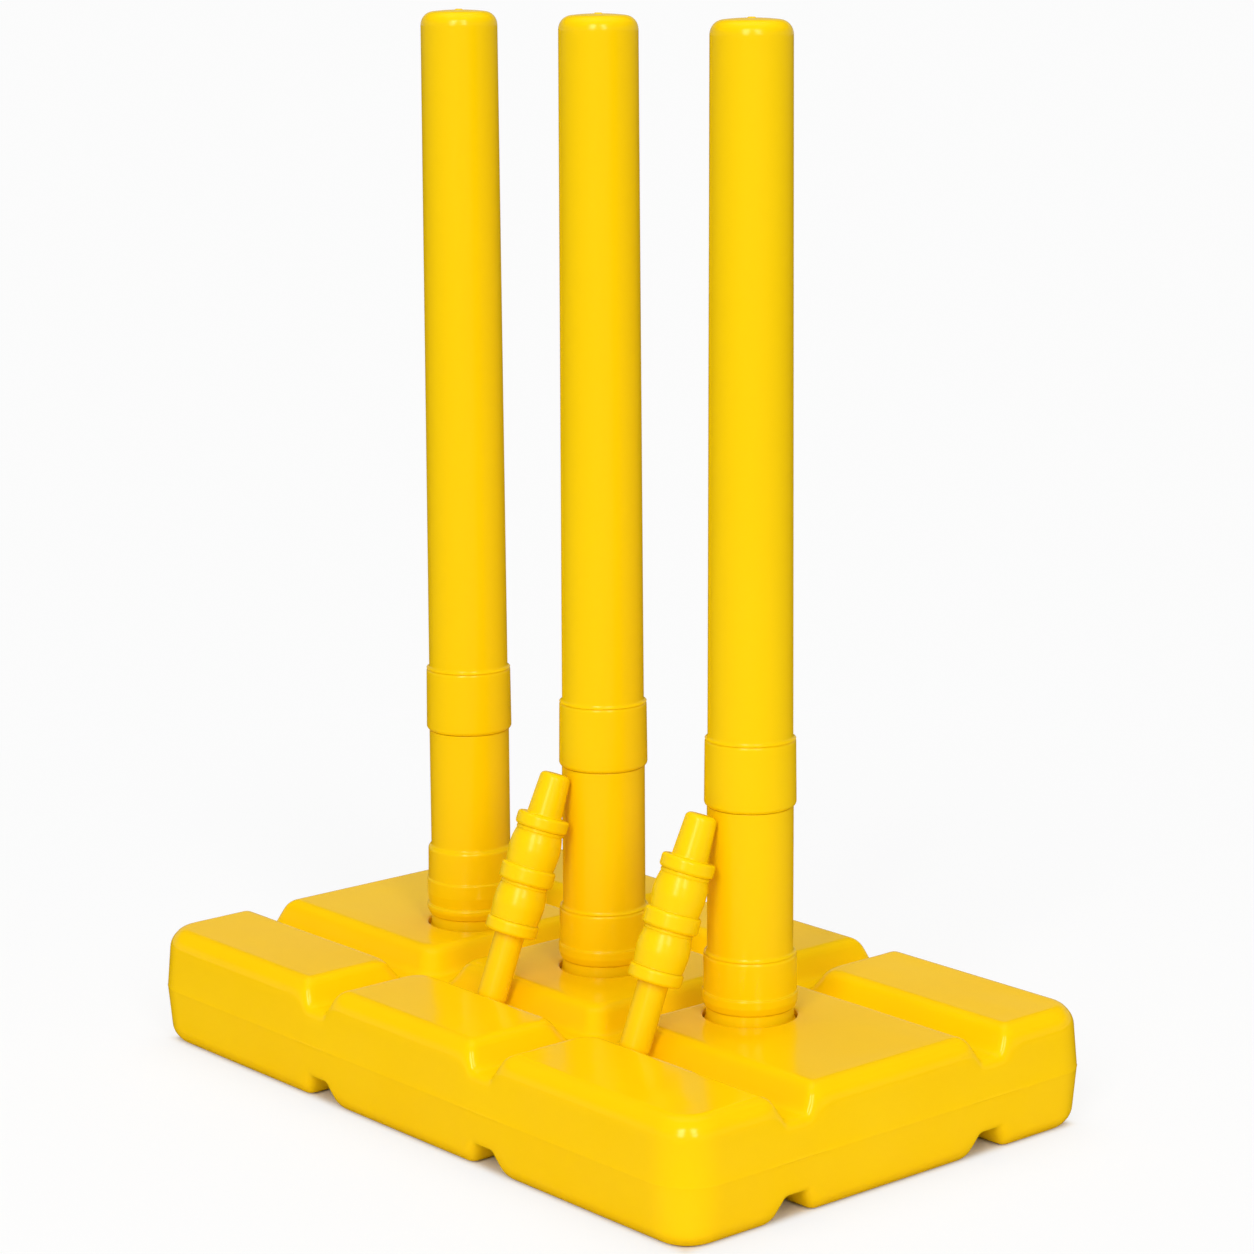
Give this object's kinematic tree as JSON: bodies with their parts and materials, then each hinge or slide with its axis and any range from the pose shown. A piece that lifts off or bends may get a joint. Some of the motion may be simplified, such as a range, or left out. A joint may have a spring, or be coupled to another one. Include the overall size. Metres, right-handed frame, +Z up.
{
  "type": "cricket stumps",
  "caption": "Free-standing cricket stumps that push into a grooved, hollow moulded base, with bails standing in one of its grooves.",
  "frame": {"origin": "middle of the flat underside of the base, on the surface that it stands on", "axes": "+Z up along the stumps, +X along the row of stumps, -Y towards the long side whose groove holds the bails"},
  "size_m": [0.372, 0.238, 0.472],
  "materials": {
    "base_plastic": "semi-gloss yellow blow-moulded polyethylene",
    "stump_plastic": "semi-gloss yellow blow-moulded polyethylene",
    "bail_plastic": "semi-gloss yellow moulded polyethylene"
  },
  "bodies": {
    "base": {"base": "base_plastic"},
    "lower_stump_left": {"lower_stump_left": "stump_plastic"},
    "lower_stump_middle": {"lower_stump_middle": "stump_plastic"},
    "lower_stump_right": {"lower_stump_right": "stump_plastic"},
    "upper_stump_left": {"upper_stump_left": "stump_plastic"},
    "upper_stump_middle": {"upper_stump_middle": "stump_plastic"},
    "upper_stump_right": {"upper_stump_right": "stump_plastic"},
    "bail_left": {"bail_left": "bail_plastic"},
    "bail_right": {"bail_right": "bail_plastic"}
  },
  "joints": [
    {"name": "lower_stump_left_lift", "type": "slide", "parent": "base", "child": "lower_stump_left", "axis": [0, 0, 1], "range_m": [0, 0.036]},
    {"name": "lower_stump_middle_lift", "type": "slide", "parent": "base", "child": "lower_stump_middle", "axis": [0, 0, 1], "range_m": [0, 0.036]},
    {"name": "lower_stump_right_lift", "type": "slide", "parent": "base", "child": "lower_stump_right", "axis": [0, 0, 1], "range_m": [0, 0.036]},
    {"name": "upper_stump_left_lift", "type": "slide", "parent": "lower_stump_left", "child": "upper_stump_left", "axis": [0, 0, 1], "range_m": [0, 0.026]},
    {"name": "upper_stump_middle_lift", "type": "slide", "parent": "lower_stump_middle", "child": "upper_stump_middle", "axis": [0, 0, 1], "range_m": [0, 0.026]},
    {"name": "upper_stump_right_lift", "type": "slide", "parent": "lower_stump_right", "child": "upper_stump_right", "axis": [0, 0, 1], "range_m": [0, 0.026]},
    {"name": "bail_left_lift", "type": "slide", "parent": "base", "child": "bail_left", "axis": [-0.078, -0.494, 0.866], "range_m": [0, 0.12]},
    {"name": "bail_right_lift", "type": "slide", "parent": "base", "child": "bail_right", "axis": [-0.078, -0.494, 0.866], "range_m": [0, 0.12]}
  ]
}
